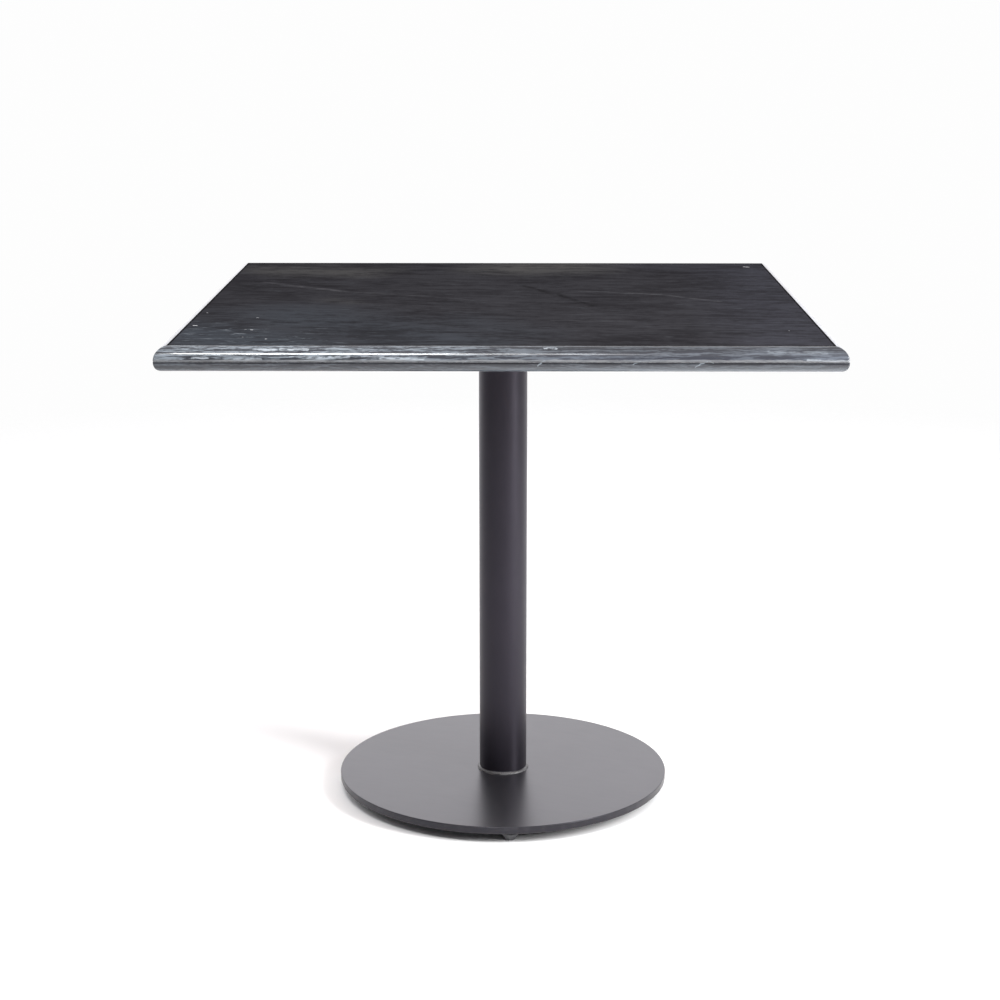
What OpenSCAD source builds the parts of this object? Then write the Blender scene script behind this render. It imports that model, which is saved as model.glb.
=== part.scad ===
// Square stone-topped pedestal table on a round steel base plate.
// Millimetres, +Z up. The origin is on the floor, under the axis of the column.

/* [Top] */
// Overall width and depth of the square top
top_size = 900; // [700:10:1000]
// Height of the flat top above the floor, feet screwed right in
height = 765; // [700:5:780]
// Thickness of the stone slab
slab_t = 19; // [16:0.5:24]
// Thickness of the stone strips that build up the edge from below
strip_t = 14; // [13:0.5:20]
// Rounding of the lower outer edge of the strips
strip_round = 12.5; // [8:0.5:13]
// Width of the stone strips
strip_w = 60; // [40:5:90]
// Distance from the widest line of the edge in to the rim of the flat top
arris_in = 16; // [8:0.5:16]
// Rounding of the four corners, seen from above
corner_r = 3; // [2:1:12]

/* [Pedestal] */
// Outer diameter of the column tube
column_d = 73; // [60:1:90]
// Wall of the column tube
column_wall = 3; // [2:0.5:5]
// Diameter of the base plate
base_d = 508; // [450:2:600]
// Thickness of the base plate
base_t = 11; // [11:1:16]
// Leg of the weld beads at the two ends of the column
weld_leg = 3.5; // [2:0.5:5]

/* [Mounting plate] */
// Width of the square plate under the top
plate_w = 400; // [340:10:480]
// Thickness of the plate
plate_t = 6; // [5:1:10]
// Reach and drop of the four gussets
gusset_l = 60; // [40:5:80]
// Thickness of the gussets
gusset_t = 5; // [4:1:8]

/* [Feet] */
// Gap between the floor and the base plate, feet screwed right in
foot_gap = 16; // [15:1:24]
// Diameter of a foot pad at its widest
pad_d = 28; // [26:1:36]
// Diameter of a foot pad where it meets the floor
pad_floor_d = 15; // [14:1:22]
// Distance from the rim of the base plate to a foot pad
pad_inset = 8; // [4:1:30]
// Turn of the four feet about the column
feet_turn = 3; // [-45:1:45]

/* [Hidden] */
$fn = 96;

// Levels, from the floor up
base_top = foot_gap + base_t;
seam_z = height - slab_t;
under_z = seam_z - strip_t;
plate_z = under_z - plate_t;

// Stone top
half = top_size / 2;
over = 10; // how far a shaping prism runs past the stone
cut = 1; // how far every other cutting solid runs past what it cuts
bite = 1; // how far two solids that are joined run into each other
nose_r = (arris_in * arris_in + slab_t * slab_t) / (2 * arris_in);
board_gap = 1;
board_w = top_size - 2 * (strip_w + board_gap);

// M6 screws through the mounting plate into the backing board
screw_r = 3;
screw_l = 16;
head_af = 10;
head_h = 4;
washer_r = 9;
washer_t = 1.6;
washer_hole_r = 3.2;
plate_hole_r = 3.5;
insert_r = 5;
insert_h = 10;
insert_bore_r = 3.05;
insert_hole_h = 11;
board_left = 1; // least wood left above a hole
insert_len = min(insert_h, strip_t - board_left);
screw_edge = 30; // from the rim of the plate in to the screws
screw_at = plate_w / 2 - screw_edge;
screw_places = [for (x = [-1:1], y = [-1:1]) if (x != 0 || y != 0) [x * screw_at, y * screw_at]];

// Column and gussets
column_r = column_d / 2;
base_chamfer = 0.8;
gusset_nose = 8; // width left at the tip of a gusset
gusset_snipe = 9; // corner cut away to clear the weld bead

// Feet: an M8 stem turns in its pad and screws into a blind hole in the base plate
feet_r = base_d / 2 - pad_inset - pad_d / 2;
hole_r = 4;
hole_depth = 9;
stem_r = 3.95;
stem_in = 8.5; // length of the stem above the underside of the base plate
collar_af = 13;
collar_h = 3;
collar_gap = 0.3; // between the collar and the base plate
pad_play = 0.1; // between the collar and the pad
pad_h = foot_gap - collar_gap - collar_h - pad_play;
pad_ease = 0.8;
pad_band = 1.2; // height of the upright band round the widest part
head_r = 6;
head_t = 3;
head_z = 5;
fit = 0.05; // running clearance of the stem in its pad
neck_r = 4;

function hex_r(across_flats) = across_flats / 2 / cos(30);

// A square prism with its four upright corners rounded
module rounded_square(z0, z1) {
    inner = half - corner_r;
    translate([0, 0, z0]) linear_extrude(z1 - z0) union() {
        square([2 * inner, top_size], center = true);
        square([top_size, 2 * inner], center = true);
        for (x = [-inner, inner], y = [-inner, inner]) translate([x, y]) circle(corner_r);
    }
}

// Outline of the slab across the top: flat above, a long curve at each end, flat below
module slab_outline() {
    intersection() {
        translate([-half, 0]) square([top_size, slab_t]);
        union() {
            translate([nose_r - half, -nose_r]) square([top_size - 2 * nose_r, 2 * nose_r]);
            for (side = [-1, 1]) translate([side * (half - nose_r), 0]) circle(nose_r);
        }
    }
}

// The slab's outline drawn out along Y
module slab_prism() {
    translate([0, half + over, seam_z]) rotate([90, 0, 0])
        linear_extrude(top_size + 2 * over) slab_outline();
}

module table_top() {
    color("#3b3c40") intersection() {
        slab_prism();
        rotate([0, 0, 90]) slab_prism();
        rounded_square(seam_z, height);
    }
}

// Outline of a strip at the +X side: square inside, its lower outer edge rounded
module strip_outline() {
    round_at = half - strip_round;
    union() {
        translate([half - strip_w, 0]) square([strip_w - strip_round, strip_t]);
        translate([round_at, strip_round]) square([strip_round, strip_t - strip_round]);
        intersection() {
            translate([round_at, 0]) square(strip_round);
            translate([round_at, strip_round]) circle(strip_round);
        }
    }
}

// A strip along one side of the top, mitred at both ends
module edge_strip(turn) {
    reach = half + over;
    color("#47484d") rotate([0, 0, turn]) intersection() {
        translate([0, reach, under_z]) rotate([90, 0, 0]) linear_extrude(2 * reach) strip_outline();
        translate([0, 0, under_z]) linear_extrude(strip_t)
            polygon([[0, 0], [reach, -reach], [reach, reach]]);
        rounded_square(under_z, seam_z);
    }
}

module edge_strip_right() { edge_strip(0); }
module edge_strip_back() { edge_strip(90); }
module edge_strip_left() { edge_strip(180); }
module edge_strip_front() { edge_strip(270); }

module backing_board() {
    color("#b08d5f") difference() {
        translate([-board_w / 2, -board_w / 2, under_z]) cube([board_w, board_w, strip_t]);
        for (p = screw_places) translate([p.x, p.y, under_z - cut])
            cylinder(r = insert_r, h = min(insert_hole_h, strip_t - board_left) + cut);
    }
}

module threaded_inserts() {
    color("#c9b26a") for (p = screw_places) translate([p.x, p.y, under_z]) difference() {
        cylinder(r = insert_r, h = insert_len);
        translate([0, 0, -cut]) cylinder(r = insert_bore_r, h = insert_len + 2 * cut);
    }
}

module mounting_plate() {
    color("#1b1b1d") difference() {
        translate([-plate_w / 2, -plate_w / 2, plate_z]) cube([plate_w, plate_w, plate_t]);
        for (p = screw_places) translate([p.x, p.y, plate_z - cut])
            cylinder(r = plate_hole_r, h = plate_t + 2 * cut);
    }
}

module plate_washers() {
    color("#9a9b9d") for (p = screw_places) translate([p.x, p.y, plate_z - washer_t]) difference() {
        cylinder(r = washer_r, h = washer_t);
        translate([0, 0, -cut]) cylinder(r = washer_hole_r, h = washer_t + 2 * cut);
    }
}

module plate_screws() {
    color("#8a8b8e") for (p = screw_places)
        translate([p.x, p.y, plate_z - washer_t]) union() {
            translate([0, 0, -head_h]) cylinder(r = hex_r(head_af), h = head_h, $fn = 6);
            cylinder(r = screw_r, h = min(screw_l, washer_t + plate_t + insert_len));
        }
}

// A gusset in the corner between the column and the mounting plate
module gusset(turn) {
    color("#1b1b1d") rotate([0, 0, turn]) difference() {
        translate([0, gusset_t / 2, plate_z]) rotate([90, 0, 0]) linear_extrude(gusset_t)
            polygon([
                [column_r - bite, -gusset_snipe], [column_r + gusset_snipe - bite, 0],
                [column_r + gusset_l, 0], [column_r + gusset_l, -gusset_nose],
                [column_r + gusset_nose, -gusset_l], [column_r - bite, -gusset_l]
            ]);
        translate([0, 0, base_top]) cylinder(d = column_d, h = plate_z - base_top + cut);
    }
}

module gusset_1() { gusset(45); }
module gusset_2() { gusset(135); }
module gusset_3() { gusset(225); }
module gusset_4() { gusset(315); }

// A round bead in the corner between the column and a plate
module weld_ring() {
    rotate_extrude() translate([column_r, 0]) intersection() {
        square(weld_leg);
        circle(weld_leg);
    }
}

module top_weld() { color("#202022") translate([0, 0, plate_z]) mirror([0, 0, 1]) weld_ring(); }
module foot_weld() { color("#2c2c2e") translate([0, 0, base_top]) weld_ring(); }

module column_tube() {
    color("#1d1c20") translate([0, 0, base_top]) difference() {
        cylinder(d = column_d, h = plate_z - base_top);
        translate([0, 0, -cut])
            cylinder(r = column_r - column_wall, h = plate_z - base_top + 2 * cut);
    }
}

module base_plate() {
    r = base_d / 2;
    c = base_chamfer;
    color("#2a2a2d") difference() {
        translate([0, 0, foot_gap]) rotate_extrude()
            polygon([[0, 0], [r - c, 0], [r, c], [r, base_t - c], [r - c, base_t], [0, base_t]]);
        for (i = [1:4]) foot_place(i) translate([0, 0, foot_gap - cut])
            cylinder(r = hole_r, h = hole_depth + cut);
    }
}

// Puts its children at foot i, counted from the front towards the right
module foot_place(i) {
    rotate([0, 0, feet_turn + 90 * (i - 2)]) translate([feet_r, 0, 0]) children();
}

module foot_pad(i) {
    wide = pad_d / 2;
    floor_r = pad_floor_d / 2;
    cone_top = pad_h - pad_ease - pad_band;
    color("#26262a") foot_place(i) difference() {
        rotate_extrude() polygon([
            [0, 0], [floor_r - pad_ease, 0], [floor_r, pad_ease], [wide, cone_top],
            [wide, pad_h - pad_ease], [wide - pad_ease, pad_h], [0, pad_h]
        ]);
        translate([0, 0, head_z - fit]) cylinder(r = head_r + fit, h = head_t + 2 * fit);
        translate([0, 0, head_z]) cylinder(r = neck_r + fit, h = pad_h);
    }
}

module foot_stem(i) {
    neck_h = pad_h + pad_play - head_z;
    collar_z = pad_h + pad_play;
    color("#a7a8aa") foot_place(i) union() {
        translate([0, 0, head_z]) cylinder(r = head_r, h = head_t);
        translate([0, 0, head_z]) cylinder(r = neck_r, h = neck_h + bite);
        translate([0, 0, collar_z]) cylinder(r = hex_r(collar_af), h = collar_h, $fn = 6);
        translate([0, 0, collar_z + bite])
            cylinder(r = stem_r, h = foot_gap + stem_in - collar_z - bite);
    }
}

module foot_pad_1() { foot_pad(1); }
module foot_pad_2() { foot_pad(2); }
module foot_pad_3() { foot_pad(3); }
module foot_pad_4() { foot_pad(4); }
module foot_stem_1() { foot_stem(1); }
module foot_stem_2() { foot_stem(2); }
module foot_stem_3() { foot_stem(3); }
module foot_stem_4() { foot_stem(4); }

table_top();
edge_strip_front();
edge_strip_right();
edge_strip_back();
edge_strip_left();
backing_board();
threaded_inserts();
mounting_plate();
plate_screws();
plate_washers();
gusset_1();
gusset_2();
gusset_3();
gusset_4();
top_weld();
column_tube();
foot_weld();
base_plate();
foot_pad_1();
foot_pad_2();
foot_pad_3();
foot_pad_4();
foot_stem_1();
foot_stem_2();
foot_stem_3();
foot_stem_4();
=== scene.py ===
"""Looks of a square stone-topped pedestal table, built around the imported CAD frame."""

import math
import random

import bmesh
import bpy
from mathutils import Matrix, Vector


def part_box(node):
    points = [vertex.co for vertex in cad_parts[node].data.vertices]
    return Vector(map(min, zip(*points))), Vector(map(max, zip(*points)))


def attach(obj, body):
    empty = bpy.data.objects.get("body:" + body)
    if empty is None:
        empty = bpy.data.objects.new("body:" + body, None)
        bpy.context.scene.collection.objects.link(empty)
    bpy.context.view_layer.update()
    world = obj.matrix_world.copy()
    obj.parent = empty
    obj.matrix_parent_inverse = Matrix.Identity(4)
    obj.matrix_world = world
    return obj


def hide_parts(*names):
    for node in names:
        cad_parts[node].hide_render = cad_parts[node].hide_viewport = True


MM = 0.001

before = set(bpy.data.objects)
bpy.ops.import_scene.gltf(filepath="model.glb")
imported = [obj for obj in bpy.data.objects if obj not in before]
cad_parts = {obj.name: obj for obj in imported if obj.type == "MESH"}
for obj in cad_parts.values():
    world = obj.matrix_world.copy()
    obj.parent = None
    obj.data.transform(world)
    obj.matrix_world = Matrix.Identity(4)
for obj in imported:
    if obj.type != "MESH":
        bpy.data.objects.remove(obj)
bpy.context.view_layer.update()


# -------- sizes taken from the frame

slab_low, slab_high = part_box("table_top")
strip_low, strip_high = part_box("edge_strip_front")
column_low, column_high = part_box("column_tube")
base_low, base_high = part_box("base_plate")
screws_low, screws_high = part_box("plate_screws")
washers_low, washers_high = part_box("plate_washers")

# sizes that no box gives
CORNER_R = 3 * MM
STRIP_ROUND = 12.5 * MM
COLUMN_WALL = 3 * MM
WASHER_R = 9 * MM

TOP_HALF = slab_high.x
TOP_Z = slab_high.z
SEAM_Z = slab_low.z
SLAB_T = TOP_Z - SEAM_Z
UNDER_Z = strip_low.z
STRIP_T = SEAM_Z - UNDER_Z
STRIP_W = strip_high.y - strip_low.y
flat_rim = max(v.co.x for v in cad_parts["table_top"].data.vertices if v.co.z > TOP_Z - 0.1 * MM)
ARRIS_IN = TOP_HALF - flat_rim
NOSE_R = (ARRIS_IN**2 + SLAB_T**2) / (2 * ARRIS_IN)
PLATE_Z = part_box("mounting_plate")[0].z
COLUMN_R = column_high.x
BASE_R = base_high.x
BASE_Z = base_low.z
BASE_TOP = base_high.z
WELD_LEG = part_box("foot_weld")[1].x - COLUMN_R
SCREW_AT = washers_high.x - WASHER_R
SCREW_HEAD_H = washers_low.z - screws_low.z
GUSSET_ANGLES = {f"gusset_{i}": 90 * i - 45 for i in (1, 2, 3, 4)}
FEET = (1, 2, 3, 4)


def foot_centre(i):
    low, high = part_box(f"foot_pad_{i}")
    return (low.x + high.x) / 2, (low.y + high.y) / 2


# -------- mesh helpers


def polar(radius, turn, height):
    return radius * math.cos(turn), radius * math.sin(turn), height


def object_from(name, bm, sharp):
    """A smooth-shaded object from a bmesh, with edges over the sharp angle kept crisp."""
    mesh = bpy.data.meshes.new(name)
    bm.to_mesh(mesh)
    bm.free()
    obj = bpy.data.objects.new(name, mesh)
    bpy.context.scene.collection.objects.link(obj)
    shade(obj, sharp)
    return obj


def shade(obj, sharp):
    for polygon in obj.data.polygons:
        polygon.use_smooth = True
    obj.data.set_sharp_from_angle(angle=math.radians(sharp))


def mesh_object(name, verts, faces, sharp=32.0):
    """An object from plain lists, where a corner that a face names twice counts once."""
    bm = bmesh.new()
    made = [bm.verts.new(v) for v in verts]
    for face in faces:
        corners = list(dict.fromkeys(face))
        if len(corners) > 2:
            bm.faces.new([made[i] for i in corners])
    bmesh.ops.remove_doubles(bm, verts=bm.verts, dist=1e-7)
    bmesh.ops.recalc_face_normals(bm, faces=bm.faces)
    return object_from(name, bm, sharp)


def ring_faces(count, size, closed=False):
    """The faces between rings of points that are numbered ring after ring.
    The last ring is joined to the first if closed, or else both end rings are filled."""
    faces = []
    for ring in range(count if closed else count - 1):
        a, b = ring * size, (ring + 1) % count * size
        for k in range(size):
            n = (k + 1) % size
            faces.append([a + k, a + n, b + n, b + k])
    if not closed:
        faces.append(list(range(size)))
        faces.append([(count - 1) * size + k for k in range(size)])
    return faces


def apply_modifiers(obj):
    depsgraph = bpy.context.evaluated_depsgraph_get()
    result = bpy.data.meshes.new_from_object(obj.evaluated_get(depsgraph))
    obj.modifiers.clear()
    obj.data = result


def flatten_flats(obj):
    """Weights the normals by face area, so that a flat face beside a small rounding is shaded flat."""
    modifier = obj.modifiers.new("even", "WEIGHTED_NORMAL")
    modifier.keep_sharp = True
    modifier.weight = 100
    apply_modifiers(obj)


def eased(points, radii, steps=4, closed=False):
    """The polyline with each listed corner {index: radius} rounded by an arc."""
    out = []
    count = len(points)
    for i, p in enumerate(points):
        radius = radii.get(i, 0)
        ends = not closed and i in (0, count - 1)
        if ends or radius <= 0:
            out.append(tuple(p))
            continue
        here = Vector(p)
        to_last = (Vector(points[i - 1]) - here).normalized()
        to_next = (Vector(points[(i + 1) % count]) - here).normalized()
        half_angle = to_last.angle(to_next) / 2
        back = radius / math.tan(half_angle)
        start = here + to_last * back
        stop = here + to_next * back
        centre = here + (to_last + to_next).normalized() * (radius / math.sin(half_angle))
        for k in range(steps + 1):
            t = k / steps
            chord = start.lerp(stop, t)
            out.append(tuple(centre + (chord - centre).normalized() * radius))
    return out


def lathe(name, profile, centre=(0.0, 0.0), segments=96, closed=False):
    """A solid of revolution about an upright axis. The profile is a list of (radius, height)."""
    verts, rings = [], []
    for radius, height in profile:
        if radius < 1e-7:
            rings.append([len(verts)] * segments)
            verts.append((centre[0], centre[1], height))
            continue
        rings.append([len(verts) + k for k in range(segments)])
        for k in range(segments):
            turn = 2 * math.pi * k / segments
            x, y, z = polar(radius, turn, height)
            verts.append((centre[0] + x, centre[1] + y, z))
    faces = []
    pairs = list(zip(rings, rings[1:]))
    if closed:
        pairs.append((rings[-1], rings[0]))
    for lower, upper in pairs:
        for k in range(segments):
            n = (k + 1) % segments
            faces.append([lower[k], lower[n], upper[n], upper[k]])
    return mesh_object(name, verts, faces)


def cut_away(obj, cutters):
    """Takes the cutters' volume out of obj, and removes the cutters."""
    for cutter in cutters:
        modifier = obj.modifiers.new("cut", "BOOLEAN")
        modifier.object = cutter
        modifier.operation = "DIFFERENCE"
        modifier.solver = "EXACT"
    apply_modifiers(obj)
    for cutter in cutters:
        bpy.data.objects.remove(cutter)


def refined(node, bevel, steps):
    """A copy of a CAD node as clean flat faces, with its sharp edges softly rounded."""
    bm = bmesh.new()
    bm.from_mesh(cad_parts[node].data)
    bmesh.ops.remove_doubles(bm, verts=bm.verts, dist=1e-6)
    bmesh.ops.dissolve_limit(bm, angle_limit=math.radians(1.0), verts=bm.verts, edges=bm.edges)
    sharp_edges = [e for e in bm.edges if e.is_manifold and e.calc_face_angle(0) > math.radians(40)]
    bmesh.ops.bevel(
        bm, geom=sharp_edges, offset=bevel, offset_type="OFFSET", segments=steps, profile=0.5,
        affect="EDGES", clamp_overlap=True,
    )
    bmesh.ops.recalc_face_normals(bm, faces=bm.faces)
    obj = object_from(node, bm, 40.0)
    flatten_flats(obj)
    return obj


def join_meshes(name, objects, sharp):
    """One object from several, which are removed."""
    bm = bmesh.new()
    for obj in objects:
        bm.from_mesh(obj.data)
        bpy.data.objects.remove(obj)
    return object_from(name, bm, sharp)


def settle(obj, body, material, slot, *nodes):
    """Gives a new piece its material and its body, and hides the CAD nodes that it stands for. The slot is
    not used.
    """
    if material is not None:
        obj.data.materials.clear()
        obj.data.materials.append(material)
    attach(obj, body)
    if nodes:
        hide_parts(*nodes)


# -------- material helper


class Graph:
    """A short way to write a node tree. Lengths in it are in metres."""

    def __init__(self, tree):
        self.tree = tree

    def node(self, kind, **settings):
        made = self.tree.nodes.new(kind)
        for key, value in settings.items():
            setattr(made, key, value)
        return made

    def put(self, socket, value):
        if isinstance(value, bpy.types.NodeSocket):
            self.tree.links.new(value, socket)
        else:
            socket.default_value = value

    def math(self, operation, a, b=0.0):
        made = self.node("ShaderNodeMath", operation=operation)
        self.put(made.inputs[0], a)
        self.put(made.inputs[1], b)
        return made.outputs[0]

    def plus(self, total, *values):
        for value in values:
            total = self.math("ADD", total, value)
        return total

    def minus(self, a, b):
        return self.math("SUBTRACT", a, b)

    def times(self, product, *values):
        for value in values:
            product = self.math("MULTIPLY", product, value)
        return product

    def ramp(self, value, low, high, to_low=0.0, to_high=1.0, smooth=True):
        made = self.node("ShaderNodeMapRange", interpolation_type="SMOOTHSTEP" if smooth else "LINEAR")
        self.put(made.inputs["Value"], value)
        for key, number in (("From Min", low), ("From Max", high), ("To Min", to_low), ("To Max", to_high)):
            made.inputs[key].default_value = number
        return made.outputs["Result"]


class Material(Graph):
    """A material, whose coordinates are those of its object."""

    def __init__(self, name):
        self.material = bpy.data.materials.new(name)
        self.material.use_nodes = True
        super().__init__(self.material.node_tree)
        self.shader = self.tree.nodes["Principled BSDF"]
        self.where = self.node("ShaderNodeTexCoord").outputs["Object"]

    def set(self, name, value):
        self.put(self.shader.inputs[name], value)

    def vector(self, operation, a, b=(0.0, 0.0, 0.0), output="Vector"):
        made = self.node("ShaderNodeVectorMath", operation=operation)
        self.put(made.inputs[0], a)
        if operation == "SCALE":
            self.put(made.inputs["Scale"], b)
        else:
            self.put(made.inputs[1], b)
        return made.outputs[output]

    def turned(self, where=None, stretch=(1.0, 1.0, 1.0), degrees=0.0, shift=(0.0, 0.0, 0.0)):
        """Coordinates turned about Z, then multiplied along each axis."""
        turn = self.node("ShaderNodeVectorRotate", rotation_type="Z_AXIS")
        self.put(turn.inputs["Vector"], where or self.where)
        turn.inputs["Angle"].default_value = math.radians(degrees)
        scaled = self.vector("MULTIPLY", turn.outputs[0], stretch)
        return self.vector("ADD", scaled, shift)

    def noise(self, scale, where=None, detail=3.0, roughness=0.5, output="Fac"):
        made = self.node("ShaderNodeTexNoise")
        self.put(made.inputs["Vector"], where or self.where)
        made.inputs["Scale"].default_value = scale
        made.inputs["Detail"].default_value = detail
        made.inputs["Roughness"].default_value = roughness
        return made.outputs[output]

    def cells(self, scale):
        made = self.node("ShaderNodeTexVoronoi")
        self.put(made.inputs["Vector"], self.where)
        made.inputs["Scale"].default_value = scale
        return made.outputs["Distance"]

    def mix(self, factor, a, b):
        made = self.node("ShaderNodeMix", data_type="RGBA")
        self.put(made.inputs[0], factor)
        self.put(made.inputs[6], a if isinstance(a, bpy.types.NodeSocket) else (*a, 1.0))
        self.put(made.inputs[7], b if isinstance(b, bpy.types.NodeSocket) else (*b, 1.0))
        return made.outputs[2]

    def split(self):
        """The three coordinates, each by itself."""
        made = self.node("ShaderNodeSeparateXYZ")
        self.put(made.inputs[0], self.where)
        return tuple(made.outputs)

    def bump(self, height, strength, distance, normal=None):
        made = self.node("ShaderNodeBump")
        made.inputs["Strength"].default_value = strength
        made.inputs["Distance"].default_value = distance
        self.put(made.inputs["Height"], height)
        if normal is not None:
            self.put(made.inputs["Normal"], normal)
        return made.outputs["Normal"]

    def warped(self, amount, scale, detail=2.0):
        """Coordinates pushed about by noise, by up to half the amount each way."""
        push = self.noise(scale, detail=detail, output="Color")
        centred = self.vector("SUBTRACT", push, (0.5, 0.5, 0.5))
        return self.vector("ADD", self.where, self.vector("SCALE", centred, amount))

    def streak(self, where, start, stop, width):
        """1 on the line from start to stop, falling to 0 at width from it, seen from above."""
        ax, ay = start
        run = Vector((stop[0] - ax, stop[1] - ay, 0.0))
        offset = self.vector("SUBTRACT", where, (ax, ay, 0.0))
        flat = self.vector("MULTIPLY", offset, (1.0, 1.0, 0.0))
        along = self.vector("DOT_PRODUCT", flat, tuple(run / run.length_squared), output="Value")
        share = self.math("MAXIMUM", self.math("MINIMUM", along, 1.0), 0.0)
        nearest = self.vector("SCALE", tuple(run), share)
        gap = self.vector("DISTANCE", flat, nearest, output="Value")
        return self.ramp(gap, 0.0, width, 1.0, 0.0)


# -------- stone

DARK_STONE = (0.015, 0.0143, 0.0161)
GREY_STONE = (0.028, 0.0274, 0.0306)
WARM_STONE = (0.059, 0.0573, 0.0552)
BLUE_STONE = (0.039, 0.0442, 0.0522)
DUSK_STONE = (0.0347, 0.035, 0.0431)
PALE_VEIN = (0.076, 0.075, 0.081)
DEEP_VEIN = (0.007, 0.0066, 0.007)
HAIR_STREAK = (0.14, 0.156, 0.172)
WHITE_FLECK = (0.52, 0.52, 0.53)
RAW_STONE = (0.195, 0.2, 0.208)

# Veins and flecks of the top: ends seen from above in metres, half width, strength
PALE_VEINS = (
    ((-0.375, 0.185), (-0.315, 0.135), 0.013, 0.55),
    ((-0.315, 0.135), (-0.245, 0.08), 0.013, 1.0),
    ((-0.245, 0.08), (-0.122, 0.032), 0.01, 0.45),
    ((-0.122, 0.032), (0.03, -0.055), 0.008, 0.22),
    ((0.12, 0.086), (0.171, 0.072), 0.01, 0.45),
    ((0.171, 0.072), (0.237, 0.051), 0.01, 0.85),
    ((0.237, 0.051), (0.319, -0.024), 0.01, 0.6),
    ((0.07, -0.214), (0.185, -0.226), 0.006, 0.45),
)
DARK_VEINS = (
    ((0.03, 0.15), (0.062, 0.085), 0.01, 0.8),
    ((0.062, 0.085), (0.092, 0.023), 0.012, 1.0),
    ((0.092, 0.023), (0.132, -0.073), 0.009, 0.8),
    ((-0.13, 0.052), (0.04, 0.01), 0.01, 0.4),
    ((-0.316, -0.233), (-0.285, -0.238), 0.012, 0.7),
    ((-0.24, -0.232), (-0.205, -0.236), 0.012, 0.6),
    ((-0.11, -0.246), (-0.052, -0.262), 0.01, 0.6),
    ((-0.23, -0.315), (-0.04, -0.325), 0.008, 0.5),
    ((-0.01, -0.29), (0.06, -0.34), 0.008, 0.5),
    ((0.22, -0.3), (0.33, -0.335), 0.014, 0.45),
)
FLECKS = (
    ((-0.4215, -0.145), (-0.4212, -0.1452), 0.0024, 1.0),
    ((-0.345, -0.1912), (-0.343, -0.1918), 0.0022, 0.7),
    ((-0.44, -0.256), (-0.433, -0.259), 0.0021, 0.65),
    ((-0.423, -0.264), (-0.419, -0.265), 0.0029, 1.0),
    ((-0.349, -0.298), (-0.347, -0.299), 0.0024, 0.6),
    ((-0.34, -0.302), (-0.338, -0.303), 0.0027, 0.9),
    ((-0.335, -0.308), (-0.331, -0.317), 0.0016, 0.35),
    ((-0.3435, -0.365), (-0.343, -0.3655), 0.0021, 0.6),
    ((-0.311, -0.38), (-0.3105, -0.3803), 0.0026, 0.9),
    ((0.12, -0.08), (0.123, -0.0805), 0.0024, 0.35),
    ((0.133, -0.083), (0.1345, -0.0832), 0.0024, 0.35),
    ((0.399, 0.386), (0.406, 0.383), 0.004, 0.95),
    ((0.3885, -0.3045), (0.389, -0.305), 0.0021, 0.6),
)
WARM_PATCHES = (
    ((-0.36, 0.35), (-0.25, 0.32), 0.12, 0.8),
    ((0.02, 0.37), (0.11, 0.39), 0.15, 1.0),
    ((-0.25, -0.02), (-0.23, -0.03), 0.05, 0.3),
)
BLUE_PATCHES = (
    ((-0.44, -0.32), (-0.3, -0.42), 0.17, 1.0),
    ((-0.3, -0.18), (-0.08, -0.4), 0.19, 0.7),
    ((-0.06, -0.23), (0.0, -0.33), 0.13, 0.4),
)
DUSK_PATCHES = (
    ((0.4, -0.4), (0.4, 0.4), 0.17, 0.85),
    ((0.2, 0.42), (0.4, 0.4), 0.12, 0.6),
)


def gathered(graph, where, features):
    """The strongest of a list of streaks."""
    total = None
    for start, stop, width, strength in features:
        mask = graph.times(graph.streak(where, start, stop, width), strength)
        total = mask if total is None else graph.math("MAXIMUM", total, mask)
    return total


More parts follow.
